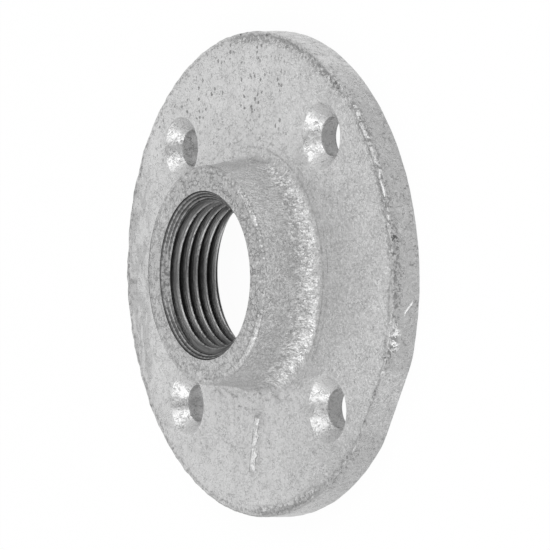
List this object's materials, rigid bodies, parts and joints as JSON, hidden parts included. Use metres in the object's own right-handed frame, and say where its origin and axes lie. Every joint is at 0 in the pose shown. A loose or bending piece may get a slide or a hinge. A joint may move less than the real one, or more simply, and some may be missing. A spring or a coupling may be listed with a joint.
{
  "type": "threaded floor flange",
  "caption": "Round cast flange plate with a raised threaded hub for a pipe end and countersunk screw holes for fixing it to a floor or wall.",
  "frame": {"origin": "centre of the back face, the face that is screwed to a floor or wall, on the axis of the pipe", "axes": "+Z along the pipe axis, out of the hub's mouth; the screw holes lie between +X and +Y and the three matching directions, and the gate flat on the rim faces 32 degrees from +X towards -Y"},
  "size_m": [0.1, 0.1, 0.018],
  "materials": {
    "zinc_skin": "hot-dip zinc over as-cast iron, light grey with a fine mottled grain and dark pits; the threads are darker steel grey"
  },
  "bodies": {
    "root": {"floor_flange": "zinc_skin"}
  },
  "joints": []
}
